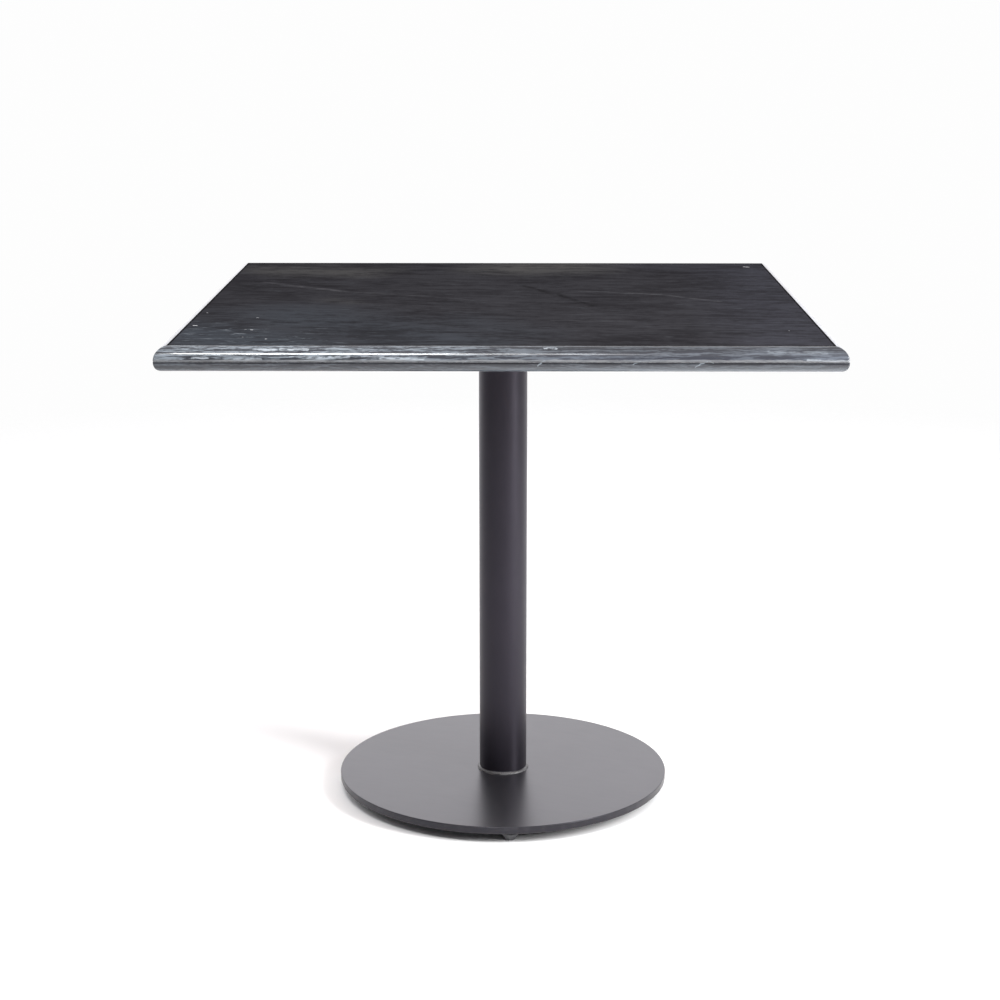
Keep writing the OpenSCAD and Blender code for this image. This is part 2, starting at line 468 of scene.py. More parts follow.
def honed_stone():
    g = Material("honed_stone")
    warped = g.warped(0.040, 7.0)
    clouds = g.noise(4.5, warped, roughness=0.55)
    grain = g.turned(warped, stretch=(13.0, 52.0, 52.0), degrees=5.0)
    bands = g.noise(1.0, grain, detail=5.0, roughness=0.62)
    fine_grain = g.turned(g.warped(0.012, 22.0), stretch=(34.0, 170.0, 170.0), degrees=4.0)
    fine_bands = g.noise(1.0, fine_grain, detail=4.0, roughness=0.7)
    crumbs = g.noise(75.0, g.warped(0.006, 40.0), detail=5.0, roughness=0.7)
    layers = ((clouds, 0.55), (bands, 0.75), (fine_bands, 0.55), (crumbs, 0.34))
    tone = g.plus(*[g.times(layer, share) for layer, share in layers])
    colour = g.mix(g.ramp(tone, 0.90, 1.28), DARK_STONE, GREY_STONE)

    patch_where = g.warped(0.080, 6.0)
    breaks = g.ramp(tone, 0.94, 1.20, 0.30, 1.0)
    tints = ((WARM_PATCHES, WARM_STONE), (DUSK_PATCHES, DUSK_STONE), (BLUE_PATCHES, BLUE_STONE))
    for patches, tint in tints:
        colour = g.mix(g.times(gathered(g, patch_where, patches), breaks, 0.80), colour, tint)

    vein_where = g.warped(0.012, 26.0, detail=3.0)
    broken = g.ramp(g.noise(60.0, vein_where, detail=2.0), 0.30, 0.62, 0.25, 1.0)
    colour = g.mix(g.times(gathered(g, vein_where, PALE_VEINS), broken, 0.55), colour, PALE_VEIN)
    colour = g.mix(g.times(gathered(g, vein_where, DARK_VEINS), broken, 0.80), colour, DEEP_VEIN)

    # hair-thin light streaks all over, thickest at the front left
    hair_where = g.turned(g.warped(0.010, 18.0), stretch=(30.0, 190.0, 190.0), degrees=5.0)
    hairs = g.ramp(g.noise(1.0, hair_where, roughness=0.6), 0.60, 0.70)
    corner = g.streak(patch_where, (-0.44, -0.29), (-0.27, -0.42), 0.15)
    colour = g.mix(g.times(hairs, g.plus(g.times(corner, 0.80), 0.10)), colour, HAIR_STREAK)
    flecks = gathered(g, g.warped(0.0020, 160.0), FLECKS)
    colour = g.mix(g.ramp(flecks, 0.25, 0.80), colour, WHITE_FLECK)

    # painted shade: a narrow dark line just inside the arris, all round the flat, where the flat turns over
    # into the edge
    across, deep, _ = g.split()
    reach = g.math("MAXIMUM", g.math("ABSOLUTE", across), g.math("ABSOLUTE", deep))
    flat_half = TOP_HALF - ARRIS_IN
    painted_arris_shade = g.ramp(reach, flat_half - 3.6 * MM, flat_half - 2.6 * MM)
    colour = g.mix(g.times(painted_arris_shade, 0.85), colour, DEEP_VEIN)
    g.set("Base Color", colour)

    polish = g.noise(14.0, warped)
    g.set("Roughness", g.ramp(polish, 0.3, 0.7, 0.54, 0.66))
    g.set("Specular IOR Level", 0.0)
    tooth = g.bump(g.noise(1400.0, detail=2.0), 0.12, 0.00012)
    g.set("Normal", g.bump(fine_bands, 0.10, 0.00015, tooth))
    return g.material


# Light patches of the front edge: ends as (along the edge, height), half width, strength
EDGE_PATCHES = (
    ((-0.318, TOP_Z - 0.004), (-0.292, TOP_Z - 0.0044), 0.0022, 0.85),
    ((-0.286, TOP_Z - 0.0036), (-0.25, TOP_Z - 0.004), 0.0022, 0.8),
    ((-0.272, SEAM_Z + 0.0072), (-0.24, SEAM_Z + 0.0062), 0.0022, 0.45),
    ((-0.25, SEAM_Z + 0.005), (-0.196, SEAM_Z + 0.007), 0.003, 0.6),
    ((-0.18, SEAM_Z + 0.008), (-0.15, SEAM_Z + 0.007), 0.0022, 0.35),
    ((-0.155, SEAM_Z + 0.0052), (-0.1, SEAM_Z + 0.0034), 0.0026, 0.75),
    ((-0.4, SEAM_Z + 0.0055), (-0.378, SEAM_Z + 0.005), 0.0018, 0.75),
    ((-0.345, SEAM_Z + 0.0038), (-0.31, SEAM_Z + 0.0034), 0.002, 0.6),
    ((0.056, TOP_Z - 0.0022), (0.072, TOP_Z - 0.0022), 0.0012, 0.7),
    ((0.345, TOP_Z - 0.006), (0.42, TOP_Z - 0.007), 0.003, 0.14),
    ((0.395, SEAM_Z + 0.003), (0.442, SEAM_Z + 0.0016), 0.0024, 0.6),
)
# Short slanting veins that cross the seam of the front edge
EDGE_VEINS = (
    ((0.047, SEAM_Z - 0.005), (0.056, SEAM_Z + 0.002), 0.0011, 0.8),
    ((0.171, SEAM_Z - 0.003), (0.18, SEAM_Z + 0.0016), 0.001, 0.7),
    ((0.25, SEAM_Z - 0.0062), (0.266, SEAM_Z + 0.0016), 0.0011, 0.8),
    ((0.268, SEAM_Z + 0.0016), (0.274, SEAM_Z - 0.0006), 0.0008, 0.6),
    ((-0.05, SEAM_Z - 0.0008), (-0.044, SEAM_Z + 0.002), 0.0009, 0.5),
)
EDGE_DARK = (0.024, 0.0252, 0.031)
EDGE_LIGHT = (0.068, 0.076, 0.092)
EDGE_HAIR_AND_SHEEN = (0.23, 0.26, 0.29)
EDGE_WHITE = (0.44, 0.48, 0.52)
EDGE_SHADOW = (0.01, 0.01, 0.012)


def saw_line(g, colour, above, lengthwise):
    """Adds the line along the seam, ragged and pale above it and dark below it.
    Returns the new colour and the share of raw stone."""
    ragged_noise = g.noise(1.0, g.turned(stretch=lengthwise(40.0, 190.0)), detail=5.0, roughness=0.7)
    ragged = g.times(g.minus(ragged_noise, 0.5), 5.0 * MM)
    from_seam = g.minus(g.split()[2], SEAM_Z)
    over_the_band = g.minus(from_seam, g.plus(ragged, 2.9 * MM))
    pale_band = g.times(g.ramp(over_the_band, -0.6 * MM, 1.0 * MM, 1.0, 0.0), above)
    dark_start = g.ramp(from_seam, -3.0 * MM, -1.8 * MM)
    dark_end = g.ramp(from_seam, -0.2 * MM, 0.2 * MM, 1.0, 0.0)
    colour = g.mix(g.times(dark_start, dark_end, 0.60), colour, EDGE_SHADOW)
    mottle_grain = g.turned(stretch=lengthwise(45.0, 260.0), shift=(8.0, 2.0, 5.0))
    mottled = g.ramp(g.noise(1.0, mottle_grain, detail=4.0), 0.36, 0.64, 0.60, 1.0)
    raw = g.times(pale_band, mottled)
    return g.mix(g.times(raw, 0.85), colour, RAW_STONE), raw


def polished_stone(name, along):
    """The rounded edge, its grain running along one axis."""
    g = Material(name)

    def lengthwise(run_scale, cross_scale):
        if along == "x":
            return (run_scale, cross_scale, cross_scale)
        return (cross_scale, run_scale, cross_scale)

    x, y, z = g.split()
    run = x if along == "x" else y
    warped = g.warped(0.005, 20.0)
    long_grain = g.turned(warped, stretch=lengthwise(20.0, 330.0))
    streaks = g.noise(1.0, long_grain, detail=4.0, roughness=0.62)
    wide_grain = g.turned(warped, stretch=lengthwise(7.0, 90.0), shift=(3.1, 1.7, 0.4))
    broad = g.noise(1.0, wide_grain, roughness=0.55)
    short_grain = g.turned(warped, stretch=lengthwise(110.0, 700.0), shift=(5.0, 2.0, 7.0))
    crumbs = g.noise(1.0, short_grain, roughness=0.6)
    above = g.ramp(z, SEAM_Z - 0.5 * MM, SEAM_Z + 1.5 * MM)

    tone = g.plus(g.times(streaks, 0.50), g.times(broad, 0.50), g.times(g.minus(crumbs, 0.5), 0.16))
    # painted highlight: the left part above the seam, where the light falls, is lifted a little lighter
    left = g.ramp(g.plus(run, g.times(broad, 0.10)), -0.20, 0.20, 1.0, 0.0)
    painted_left_sheen = g.times(above, left, 0.03)
    colour = g.mix(g.ramp(g.plus(tone, painted_left_sheen), 0.43, 0.74), EDGE_DARK, EDGE_LIGHT)

    # painted shade: away from the left, the edge is painted lighter near the seam and darker up to the rim,
    # as the light falls on its curve
    rise = g.ramp(z, SEAM_Z + 5 * MM, TOP_Z + 1 * MM, 1.8, 0.5, smooth=False)
    painted_height_shade = g.times(above, g.minus(1.0, left), g.minus(rise, 1.0))
    colour = g.vector("SCALE", colour, g.plus(painted_height_shade, 1.0))

    # painted highlight: the left part above the seam, where the light falls, is painted bluer and lighter,
    # and the stone's light streaks are painted stronger there; elsewhere the streaks are the stone's own
    left = g.times(left, above)
    hairs = g.ramp(g.plus(streaks, g.times(crumbs, 0.5)), 0.70, 0.86)
    colour = g.mix(g.times(hairs, left, 0.80), colour, EDGE_HAIR_AND_SHEEN)
    colour = g.mix(g.times(left, 0.04), colour, EDGE_HAIR_AND_SHEEN)
    colour = g.mix(g.times(hairs, 0.15), colour, EDGE_HAIR_AND_SHEEN)

    # painted reflection: the strips are painted paler towards their lower edge, where they mirror the
    # floor, and more so on the right
    lower = g.ramp(z, UNDER_Z + 1 * MM, SEAM_Z - 3 * MM, 0.46, 0.0)
    to_the_right = g.ramp(run, -0.35, 0.30, 0.25, 1.0)
    reach = g.math("MAXIMUM", g.math("ABSOLUTE", x), g.math("ABSOLUTE", y))
    on_the_round = g.ramp(reach, TOP_HALF - STRIP_ROUND - 3 * MM, TOP_HALF - STRIP_ROUND)
    colour = g.mix(g.times(lower, to_the_right, on_the_round), colour, EDGE_HAIR_AND_SHEEN)

    # light patches and short veins of the front edge
    if along == "x":
        face = g.node("ShaderNodeCombineXYZ")
        g.put(face.inputs[0], x)
        g.put(face.inputs[1], z)
        push = g.vector("SUBTRACT", g.noise(150.0, output="Color"), (0.5, 0.5, 0.5))
        placed = g.vector("ADD", face.outputs[0], g.vector("MULTIPLY", push, (0.008, 0.0028, 0.0)))
        front = g.ramp(y, -0.42, -0.40, 1.0, 0.0)
        patch = g.times(gathered(g, placed, EDGE_PATCHES), g.ramp(crumbs, 0.36, 0.54), front)
        colour = g.mix(patch, colour, EDGE_WHITE)

    colour, raw = saw_line(g, colour, above, lengthwise)
    if along == "x":
        veins = g.times(gathered(g, placed, EDGE_VEINS), front)
        colour = g.mix(g.ramp(veins, 0.1, 0.5, 0.0, 0.70), colour, EDGE_HAIR_AND_SHEEN)
    g.set("Base Color", colour)

    gloss = g.ramp(g.noise(40.0, warped, detail=4.0), 0.35, 0.70, 0.10, 0.16)
    g.set("Roughness", g.plus(gloss, g.times(raw, 0.45)))
    hand_worked = g.noise(1.0, g.turned(stretch=lengthwise(9.0, 60.0), shift=(1.0, 6.0, 2.0)), detail=2.0)
    first = g.bump(hand_worked, 0.40, 0.00035)
    rough_saw = g.times(g.noise(900.0, detail=2.0), raw)
    g.set("Normal", g.bump(rough_saw, 0.4, 0.00015, first))
    return g.material


def ground_stone_and_highlight():
    """The narrow band where the honed flat meets the polished edge: ground stone, lighter than the edge,
    used only at the front as a painted highlight.
    """
    g = Material("ground_stone_and_highlight")
    chips = g.noise(130.0, detail=4.0, roughness=0.7)
    g.set("Base Color", g.mix(g.ramp(chips, 0.35, 0.65), (0.042, 0.043, 0.046), (0.095, 0.096, 0.098)))
    g.set("Roughness", g.ramp(chips, 0.3, 0.7, 0.50, 0.62))
    g.set("Specular IOR Level", 0.05)
    g.set("Normal", g.bump(g.noise(1200.0, detail=2.0), 0.15, 0.00012))
    return g.material


# -------- metals, wood and plastic


def powder_coat(name, colour, roughness, specular=0.5, dust=0.25, tint=(1.0, 1.0, 1.0), rim=None):
    """Fine satin powder coat. rim is the radius at which an edge is painted lighter, as rubbed wear and as
    a painted highlight, if the piece has one.
    """
    g = Material(name)
    uneven = g.noise(7.0)
    dull = tuple(c * 1.25 + 0.001 for c in colour)
    base = g.mix(g.ramp(uneven, 0.35, 0.70), colour, dull)
    specks = g.ramp(g.cells(260.0), 0.030, 0.060, 1.0, 0.0)
    specks = g.times(specks, g.ramp(g.noise(30.0), 0.58, 0.70), dust)
    base = g.mix(specks, base, (0.22, 0.21, 0.21))
    if rim is not None:
        # rubbed wear and a painted highlight: a thin lighter band just inside the rim
        flat = g.vector("MULTIPLY", g.where, (1.0, 1.0, 0.0))
        from_axis = g.vector("LENGTH", flat, output="Value")
        edge = g.ramp(from_axis, rim - 1.6 * MM, rim - 0.6 * MM)
        rubbed = g.times(edge, g.ramp(g.noise(90.0), 0.5, 0.7), 0.08)
        base = g.mix(rubbed, base, (0.10, 0.10, 0.11))
    g.set("Base Color", base)
    scuffs = g.noise(1.0, g.turned(stretch=(24.0, 90.0, 24.0), degrees=25.0), detail=5.0, roughness=0.7)
    spread = g.times(g.minus(scuffs, 0.5), 0.06)
    g.set("Roughness", g.plus(spread, roughness))
    g.set("Specular IOR Level", specular)
    g.set("Specular Tint", (*tint, 1.0))
    peel = g.bump(g.noise(900.0, detail=1.0), 0.04, 0.00003)
    g.set("Normal", g.bump(g.noise(160.0, detail=2.0), 0.02, 0.00004, peel))
    return g.material


def bare_metal(name, light, dark, roughness):
    g = Material(name)
    lines = g.noise(1.0, g.turned(stretch=(30.0, 30.0, 900.0)), detail=4.0, roughness=0.6)
    clouds = g.noise(70.0)
    base = g.mix(g.ramp(clouds, 0.35, 0.70), light, dark)
    stain = g.ramp(g.noise(240.0, detail=4.0), 0.60, 0.72)
    base = g.mix(g.times(stain, 0.35), base, tuple(c * 0.45 for c in dark))
    g.set("Base Color", base)
    g.set("Metallic", 1.0)
    g.set("Roughness", g.ramp(lines, 0.3, 0.7, roughness - 0.08, roughness + 0.10))
    g.set("Normal", g.bump(lines, 0.15, 0.00006))
    return g.material


def moulded_nylon():
    g = Material("foot_nylon")
    flow = g.noise(55.0)
    base = g.mix(g.ramp(flow, 0.35, 0.70), (0.052, 0.052, 0.056), (0.075, 0.075, 0.080))
    low = g.ramp(g.split()[2], 0.0, 0.006, 1.0, 0.0)
    scuffed = g.times(low, g.ramp(g.noise(420.0), 0.45, 0.65), 0.5)
    g.set("Base Color", g.mix(scuffed, base, (0.20, 0.20, 0.20)))
    g.set("Roughness", g.ramp(flow, 0.3, 0.7, 0.46, 0.58))
    g.set("Normal", g.bump(g.noise(1500.0, detail=2.0), 0.20, 0.00010))
    return g.material


def plywood():
    g = Material("plywood")
    height = g.split()[2]
    warped = g.warped(0.030, 5.0)
    grain = g.noise(1.0, g.turned(warped, stretch=(9.0, 190.0, 20.0)), detail=5.0, roughness=0.6)
    rings = g.noise(1.0, g.turned(warped, stretch=(2.0, 18.0, 4.0)), detail=2.0)
    tone = g.plus(g.times(grain, 0.6), g.times(rings, 0.6))
    base = g.mix(g.ramp(tone, 0.42, 0.78), (0.30, 0.185, 0.095), (0.56, 0.40, 0.24))
    plies = 7.0
    level = g.times(g.minus(height, UNDER_Z), plies / STRIP_T)
    ply = g.math("FRACT", g.times(level, 0.5))
    inner = g.times(g.ramp(level, 0.90, 1.0), g.ramp(ply, 0.46, 0.54), 0.6)
    base = g.mix(inner, base, (0.20, 0.115, 0.055))
    pores = g.ramp(g.noise(1.0, g.turned(stretch=(60.0, 1600.0, 200.0)), detail=2.0), 0.66, 0.74)
    g.set("Base Color", g.mix(g.times(pores, 0.6), base, (0.12, 0.07, 0.035)))
    g.set("Roughness", g.ramp(grain, 0.3, 0.7, 0.55, 0.72))
    g.set("Normal", g.bump(grain, 0.25, 0.00025))
    return g.material


def glue():
    g = Material("stone_glue")
    lumps = g.noise(220.0)
    base = g.mix(g.ramp(lumps, 0.35, 0.70), (0.10, 0.10, 0.105), (0.20, 0.20, 0.205))
    g.set("Base Color", base)
    g.set("Roughness", g.ramp(lumps, 0.3, 0.7, 0.45, 0.65))
    g.set("Normal", g.bump(g.noise(700.0, detail=2.0), 0.3, 0.00020))
    return g.material


def weld_bead_coat(name, colour, roughness):
    """Powder coat over a weld bead, thin and rubbed on the crests of its ripples."""
    g = Material(name)
    patch = g.noise(120.0)
    base = g.mix(g.ramp(patch, 0.40, 0.65), colour, tuple(c * 2.0 + 0.01 for c in colour))
    crest = g.ramp(g.node("ShaderNodeNewGeometry").outputs["Pointiness"], 0.50, 0.56)
    rubbed = g.times(crest, g.ramp(g.noise(45.0), 0.45, 0.60), 0.45)
    g.set("Base Color", g.mix(rubbed, base, (0.30, 0.30, 0.31)))
    g.set("Roughness", g.ramp(patch, 0.3, 0.7, roughness - 0.06, roughness + 0.08))
    g.set("Normal", g.bump(g.noise(600.0, detail=2.0), 0.25, 0.00025))
    return g.material


HONED = honed_stone()
GROUND_AND_HIGHLIGHT = ground_stone_and_highlight()
EDGE_X = polished_stone("polished_stone_x", "x")
EDGE_Y = polished_stone("polished_stone_y", "y")
COLUMN_COAT = powder_coat(
    "black_powder_coat", (0.0062, 0.0054, 0.0076), 0.41, specular=0.42, tint=(0.89, 0.82, 1.0)
)
BASE_COAT = powder_coat(
    "base_powder_coat", (0.0090, 0.0086, 0.0105), 0.33, specular=0.400, dust=0.04, tint=(0.90, 0.88, 1.0),
    rim=BASE_R,
)
PLATE_COAT = powder_coat("plate_powder_coat", (0.0120, 0.0115, 0.0130), 0.42)
WELD_COAT = weld_bead_coat("weld_powder_coat", (0.0140, 0.0135, 0.0150), 0.36)
ZINC = bare_metal("zinc_steel", (0.62, 0.63, 0.64), (0.45, 0.46, 0.48), 0.32)
BRASS = bare_metal("insert_alloy", (0.72, 0.62, 0.36), (0.55, 0.46, 0.26), 0.34)
NYLON = moulded_nylon()
PLYWOOD = plywood()
GLUE = glue()


# -------- stone top


CORNER_STEPS = 6
SIDE_STEPS = 24
MITRE_ANGLE = 3.4


def side_columns(inset, least_radius):
    """One side (+X) of the top's outline at an inset, from corner middle to corner middle.
    There is an extra point at the mitre angle beside each corner middle."""
    half = TOP_HALF - inset
    radius = max(CORNER_R - inset, least_radius)
    inner = half - radius
    angles = [-45.0, -45.0 + MITRE_ANGLE]
    angles += [-45.0 + 45.0 * k / CORNER_STEPS for k in range(1, CORNER_STEPS + 1)]
    low = []
    for angle in angles:
        turn = math.radians(angle)
        low.append((inner + radius * math.cos(turn), -inner + radius * math.sin(turn)))
    straight = [(half, -inner + 2 * inner * k / SIDE_STEPS) for k in range(1, SIDE_STEPS)]
    high = [(x, -y) for x, y in reversed(low)]
    return low + straight + high


def contour(inset):
    """The whole outline of the top at an inset from its widest line, counter-clockwise."""
    side = side_columns(inset, 0.35 * MM)
    points = []
    for quarter in range(4):
        spin = Matrix.Rotation(math.radians(90 * quarter), 2)
        points += [tuple(spin @ Vector(p)) for p in side[:-1]]
    return points


def build_slab():
    ease = 0.8 * MM
    top_angle = math.asin(SLAB_T / NOSE_R)
    low_angle = math.asin(ease / NOSE_R)
    nose_steps = 22
    outline = [(ease + NOSE_R * (1 - math.cos(low_angle)), SEAM_Z)]
    for k in range(nose_steps + 1):
        turn = low_angle + (top_angle - low_angle) * k / nose_steps
        outline.append((NOSE_R * (1 - math.cos(turn)), SEAM_Z + NOSE_R * math.sin(turn)))
    outline.append((ARRIS_IN + 6 * MM, TOP_Z))
    outline = eased(outline, {len(outline) - 2: 3.2 * MM}, steps=5)
    verts = [(x, y, z) for inset, z in outline for x, y in contour(inset)]
    faces = ring_faces(len(outline), len(contour(0.0)))
    slab = mesh_object("table_top", verts, faces, sharp=30.0)
    for material in (HONED, EDGE_X, EDGE_Y, GROUND_AND_HIGHLIGHT):
        slab.data.materials.append(material)
    flat, rim = math.cos(math.radians(5.5)), math.cos(math.radians(15.0))
    for polygon in slab.data.polygons:
        facing_y = abs(polygon.center.y) > abs(polygon.center.x)
        if abs(polygon.normal.z) > flat:
            polygon.material_index = 0
        # painted highlight: only the front's band at the arris gets the lighter ground stone; on the other
        # sides it stays polished edge
        elif polygon.normal.z > rim and polygon.center.y < -abs(polygon.center.x):
            polygon.material_index = 3
        else:
            polygon.material_index = 1 if facing_y else 2
    settle(slab, "table", None, "honed_stone", "table_top")


def strip_profile(shrink):
    """Closed outline (inset, height) of a strip: flat above, below and inside, its outer edge rounded."""
    ease = 0.8 * MM
    radius = STRIP_ROUND - shrink
    centre = UNDER_Z + STRIP_ROUND
    points = [(STRIP_W - shrink, SEAM_Z), (STRIP_W - shrink, UNDER_Z + shrink)]
    steps = 14
    for k in range(steps + 1):
        turn = math.radians(90 * k / steps)
        points.append((STRIP_ROUND - radius * math.sin(turn), centre - radius * math.cos(turn)))
    points.append((shrink, SEAM_Z - ease))
    points.append((shrink + ease, SEAM_Z))
    return points


def build_strip(node, quarter, material):
    groove = 0.35 * MM
    full, shrunk = strip_profile(0.0), strip_profile(groove)
    spin = Matrix.Rotation(math.radians(90 * quarter), 3, "Z")
    columns = None
    for index in range(len(full)):
        lines = []
        for inset, height in (full[index], shrunk[index]):
            lines.append([spin @ Vector((x, y, height)) for x, y in side_columns(inset, 0.0)])
        line = [lines[1][0], *lines[0][1:-1], lines[1][-1]]
        if columns is None:
            columns = [[] for _ in line]
        for column, point in zip(columns, line):
            column.append(point)
    verts = [tuple(p) for column in columns for p in column]
    strip = mesh_object(node, verts, ring_faces(len(columns), len(full)), sharp=30.0)
    settle(strip, "table", material, "polished_stone", node)


def build_glue_line():
    """The thin line of resin in the groove between the slab and its strips."""
    deep, shallow, half_gap = 0.95 * MM, 0.42 * MM, 0.42 * MM
    rng = random.Random(3)
    outer = contour(shallow)
    inner = contour(deep)
    verts = []
    for (ox, oy), (ix, iy) in zip(outer, inner):
        wobble = rng.uniform(-0.06, 0.06) * MM
        verts.append((ox, oy, SEAM_Z - half_gap + wobble))
        verts.append((ox, oy, SEAM_Z + half_gap + wobble))
        verts.append((ix, iy, SEAM_Z))
    line = mesh_object("glue_line", verts, ring_faces(len(outer), 3, closed=True), sharp=50.0)
    settle(line, "table", GLUE, "polished_stone")


build_slab()
build_strip("edge_strip_right", 0, EDGE_Y)
build_strip("edge_strip_back", 1, EDGE_X)
build_strip("edge_strip_left", 2, EDGE_Y)
build_strip("edge_strip_front", 3, EDGE_X)
build_glue_line()


# -------- board, plate, gussets and fasteners

# node, rounding of its edges, steps of the rounding, material, slot
REFINED = [
    ("backing_board", 0.5 * MM, 2, PLYWOOD, "plywood"),
    ("threaded_inserts", 0.3 * MM, 2, BRASS, "insert_alloy"),
    ("mounting_plate", 0.7 * MM, 3, PLATE_COAT, "black_powder_coat"),
]
REFINED += [(gusset, 0.6 * MM, 3, PLATE_COAT, "black_powder_coat") for gusset in GUSSET_ANGLES]
for node, rounding, steps, material, slot in REFINED:
    settle(refined(node, rounding, steps), "table", material, slot, node)


def hex_band(across_flats, height, z0, top=True):
    """A hexagonal head as verts and faces for mesh_object. The corners of its lower face are
    turned off, and those of its upper face too if top is true."""
    segments = 72
    apothem = across_flats / 2
    turned = apothem * 0.97
    slope = math.tan(math.radians(30))
    hair = 0.02 * MM
    rings = [[], [], [], []]
    for k in range(segments):
        turn = 2 * math.pi * k / segments
        from_flat = (math.degrees(turn) % 60) - 30
        corner = apothem / math.cos(math.radians(from_flat))
        drop = (corner - turned) * slope
        high = z0 + height
        spots = (
            (turned, z0), (corner, z0 + drop),
            (corner, high - (drop if top else hair)), (turned if top else corner, high),
        )
        for ring, (radius, z) in zip(rings, spots):
            ring.append(polar(radius, turn, z))
    return [v for ring in rings for v in ring], ring_faces(len(rings), segments)


def thread(minor, major, pitch, z0, z1, segments=48, steps=8):
    """A threaded rod from z0 to z1, with a right-hand thread and tapered ends."""
    rows = int((z1 - z0) / pitch * steps)
    verts = []
    for row in range(rows + 1):
        z = z0 + (z1 - z0) * row / rows
        near_end = min(z - z0, z1 - z)
        for k in range(segments):
            turn = 2 * math.pi * k / segments
            phase = ((z - z0) / pitch - k / segments) % 1.0
            flank = min(max((abs(phase * 2 - 1) - 0.12) / 0.70, 0.0), 1.0)
            radius = minor + (major - minor) * flank
            radius = min(radius, minor + near_end * 0.8)
            verts.append(polar(radius, turn, z))
    return mesh_object("rod", verts, ring_faces(rows + 1, segments), sharp=28.0)


def build_screw(number, centre):
    """A hexagon flange screw with a dimple in its head."""
    head_z, seat_z = screws_low.z, washers_low.z
    head_af, shank_r = 10 * MM, 3 * MM
    flange_r, flange_t = 4.6 * MM, 0.45 * MM
    head = mesh_object("head", *hex_band(head_af, SCREW_HEAD_H - 0.4 * MM, head_z, top=False), sharp=20.0)
    outline = [(0, seat_z - flange_t), (flange_r, seat_z - flange_t), (flange_r, seat_z), (0, seat_z)]
    flange = lathe("flange", eased(outline, {1: 0.1 * MM, 2: 0.1 * MM}), segments=48)
    below = head_z - 1 * MM
    hollow = [(0, below), (2.6 * MM, below), (2.3 * MM, head_z + 0.5 * MM), (0, head_z + 0.7 * MM)]
    cut_away(head, [lathe("dimple", hollow, segments=32)])
    rod = thread(2.45 * MM, shank_r, 1.0 * MM, seat_z - 0.02 * MM, screws_high.z, segments=32, steps=6)
    screw = join_meshes(f"plate_screw_{number}", [head, flange, rod], sharp=24.0)
    turn = Matrix.Rotation(math.radians(17 * number), 4, "Z")
    screw.data.transform(Matrix.Translation((*centre, 0)) @ turn)
    settle(screw, "table", ZINC, "zinc_steel", "plate_screws")


def build_washer(number, centre):
    hole_r = 3.2 * MM
    low, high = washers_low.z, washers_high.z
    ring = eased(
        [(hole_r, low), (WASHER_R, low), (WASHER_R, high), (hole_r, high)],
        {0: 0.25 * MM, 1: 0.35 * MM, 2: 0.35 * MM, 3: 0.25 * MM}, closed=True,
    )
    washer = lathe(f"plate_washer_{number}", ring, centre, segments=64, closed=True)
    settle(washer, "table", ZINC, "zinc_steel", "plate_washers")


screw_places = [(x * SCREW_AT, y * SCREW_AT) for x in (-1, 0, 1) for y in (-1, 0, 1) if x or y]
for number, place in enumerate(screw_places, 1):
    build_screw(number, place)
    build_washer(number, place)


# -------- welds


def weld_ring(node, level, upward):
    """A rippled bead in the corner between the column and a plate."""
    segments, arc_steps, ripples = 720, 8, 74
    rng = random.Random(11 if upward else 12)
    swell = [rng.uniform(-1, 1) for _ in range(24)]
    verts = []
    for k in range(segments):
        share = k / segments
        turn = 2 * math.pi * share
        spot = share * len(swell)
        first = int(spot) % len(swell)
        blend = spot - int(spot)
        blend = blend * blend * (3 - 2 * blend)
        slow = swell[first] * (1 - blend) + swell[(first + 1) % len(swell)] * blend
        for a in range(arc_steps + 1):
            arc = math.pi / 2 * a / arc_steps
            crescent = math.sin(2 * arc)
            phase = ripples * turn + 1.3 * crescent
            ripple = (1 - abs(math.sin(phase / 2))) ** 2
            leg = min(WELD_LEG * (0.955 + 0.04 * slow - 0.10 * ripple * crescent), WELD_LEG)
            radius = COLUMN_R - 0.05 * MM + leg * math.cos(arc)
            rise = leg * math.sin(arc)
            verts.append(polar(radius, turn, level + (rise if upward else -rise)))
        verts.append(polar(COLUMN_R - 0.3 * MM, turn, level))
    ring = mesh_object(node, verts, ring_faces(segments, arc_steps + 2, closed=True), sharp=50.0)
    settle(ring, "table", WELD_COAT, "black_powder_coat", node)


weld_ring("foot_weld", BASE_TOP, True)
weld_ring("top_weld", PLATE_Z, False)


def bead(start, stop, first_side, second_side, leg):
    """A short straight bead from start to stop, filling the corner between two directions."""
    run = stop - start
    rows = max(int(run.length / (0.35 * MM)), 8)
    arc_steps = 6
    verts = []
    for row in range(rows + 1):
        share = row / rows
        end = min(share, 1 - share) * run.length
        taper = min(1.0, math.sqrt(max(end, 0.0) / (2.2 * MM)) + 0.05)
        ripple = (1 - abs(math.sin(math.pi * share * run.length / (2.6 * MM)))) ** 2
        size = leg * taper * (1 - 0.10 * ripple)
        foot = start + run * share
        verts.append(tuple(foot - (first_side + second_side) * 0.2 * MM))
        for a in range(arc_steps + 1):
            arc = math.pi / 2 * a / arc_steps
            offset = first_side * math.cos(arc) + second_side * math.sin(arc)
            verts.append(tuple(foot + offset * size))
    return mesh_object("bead", verts, ring_faces(rows + 1, arc_steps + 2), sharp=50.0)


